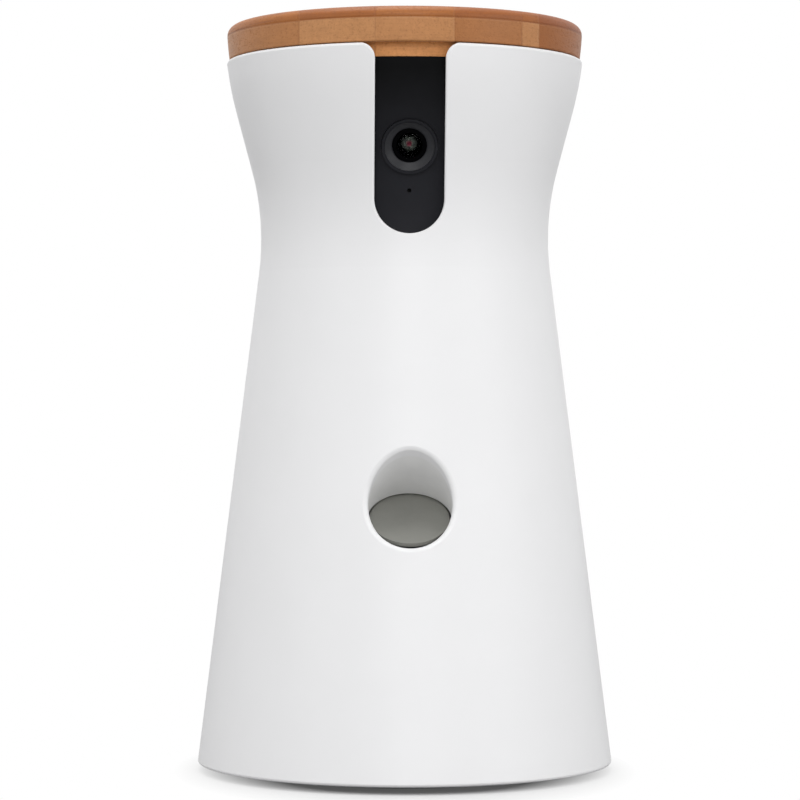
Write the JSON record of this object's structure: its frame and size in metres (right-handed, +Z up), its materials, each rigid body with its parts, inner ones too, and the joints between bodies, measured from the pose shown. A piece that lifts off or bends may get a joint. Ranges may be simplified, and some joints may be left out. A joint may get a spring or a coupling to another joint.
{
  "type": "treat tossing pet camera",
  "caption": "Hourglass pet camera with a bamboo lid, front lens slot and treat hole, feeding wheel and sprung tossing paddle.",
  "frame": {"origin": "middle of the underside, on the plane of the rubber ring that it stands on", "axes": "+Z up through the lid; -Y out of the front, where the lens and the treat hole are; +X to the right seen from the front"},
  "size_m": [0.1244, 0.1504, 0.223],
  "materials": {
    "shell_white": "satin white ABS",
    "bamboo": "oiled laminated bamboo",
    "silicone": "soft translucent silicone",
    "rubber_black": "matte rubber",
    "panel_black": "satin black acrylic",
    "ring_grey": "satin grey",
    "lens_black": "matte black",
    "lens_glass": "coated glass",
    "circuit_board": "green solder mask",
    "component_black": "moulded epoxy",
    "steel": "plain steel",
    "hopper_white": "food-grade plastic",
    "tube_grey": "satin plastic",
    "paddle_grey": "satin plastic",
    "gear_white": "acetal",
    "wheel_grey": "satin plastic",
    "motor_metal": "zinc-plated steel",
    "frame_grey": "moulded ABS",
    "bronze": "sintered bronze",
    "light_guide": "frosted clear plastic",
    "button_grey": "moulded plastic",
    "speaker_black": "moulded basket and paper cone",
    "cable_black": "insulated cable"
  },
  "bodies": {
    "base": {"base_plate": "frame_grey", "base_screws": "steel", "board_components": "component_black", "camera_board": "circuit_board", "camera_cable": "cable_black", "camera_components": "component_black", "camera_frame": "lens_black", "camera_panel": "panel_black", "camera_screws": "steel", "catch_guard": "hopper_white", "drop_chute": "hopper_white", "feed_motor": "motor_metal", "frame_screws": "steel", "front_lens": "lens_glass", "launch_tube": "tube_grey", "left_side_plate": "frame_grey", "lens_barrel": "lens_black", "lens_bezel": "panel_black", "lens_holder": "lens_black", "lens_ring": "ring_grey", "light_ring": "light_guide", "limit_switch": "lens_black", "main_board": "circuit_board", "microphone": "component_black", "outer_shell": "shell_white", "paddle_bushes": "bronze", "power_board": "circuit_board", "power_socket": "steel", "reset_spring": "steel", "reset_switch": "component_black", "return_spring": "steel", "right_side_plate": "frame_grey", "rubber_bumpers": "silicone", "rubber_ring": "rubber_black", "small_screws": "steel", "speaker": "speaker_black", "stop_pins": "steel", "toss_bushes": "bronze", "toss_motor": "motor_metal", "treat_hopper": "hopper_white", "wheel_bush": "bronze", "wheel_chamber": "hopper_white", "wiper_shield": "hopper_white"},
    "lid": {"lid_lower_ply": "bamboo", "lid_upper_ply": "bamboo", "lid_plug": "bamboo", "lid_seal": "silicone"},
    "feed_wheel": {"treat_wheel": "wheel_grey", "wheel_gear": "gear_white", "agitator": "wheel_grey", "wheel_shaft": "steel"},
    "feed_pinion": {"feed_pinion": "gear_white"},
    "paddle": {"tossing_paddle": "paddle_grey", "paddle_shaft": "steel", "paddle_sector": "gear_white"},
    "toss_train": {"toss_gear": "gear_white", "toss_shaft": "steel", "drive_gear": "gear_white"},
    "toss_pinion": {"toss_pinion": "gear_white"},
    "reset_button": {"reset_button": "button_grey"}
  },
  "joints": [
    {"name": "lid_lift", "type": "slide", "parent": "base", "child": "lid", "axis": [0, 0, 1], "range_m": [0, 0.06]},
    {"name": "feed_wheel_spin", "type": "hinge", "parent": "base", "child": "feed_wheel", "pos_m": [0, 0.006, 0.14], "axis": [0, 0, 1], "continuous": true},
    {"name": "feed_pinion_spin", "type": "hinge", "parent": "base", "child": "feed_pinion", "pos_m": [0, 0.04225, 0.134], "axis": [0, 0, 1], "continuous": true},
    {"name": "toss_gear_turn", "type": "hinge", "parent": "base", "child": "toss_train", "pos_m": [0, -0.02925, 0.04677], "axis": [1, 0, 0], "range_deg": [0, 38]},
    {"name": "paddle_swing", "type": "hinge", "parent": "base", "child": "paddle", "pos_m": [0, -0.0562, 0.0605], "axis": [1, 0, 0], "range_deg": [-38, 0], "stiffness_Nm_per_rad": 0.02, "springref_deg": 20.05},
    {"name": "toss_pinion_turn", "type": "hinge", "parent": "base", "child": "toss_pinion", "pos_m": [0, -0.005, 0.04677], "axis": [1, 0, 0], "range_deg": [-152, 0]},
    {"name": "reset_button_press", "type": "slide", "parent": "base", "child": "reset_button", "axis": [0, 0, 1], "range_m": [0, 0.0008], "stiffness_N_per_m": 200, "deforming": ["reset_spring"]}
  ],
  "couplings": [
    {"joint": "feed_pinion_spin", "follows": "feed_wheel_spin", "ratio": -5},
    {"joint": "paddle_swing", "follows": "toss_gear_turn", "ratio": -1},
    {"joint": "toss_pinion_turn", "follows": "toss_gear_turn", "ratio": -4}
  ]
}
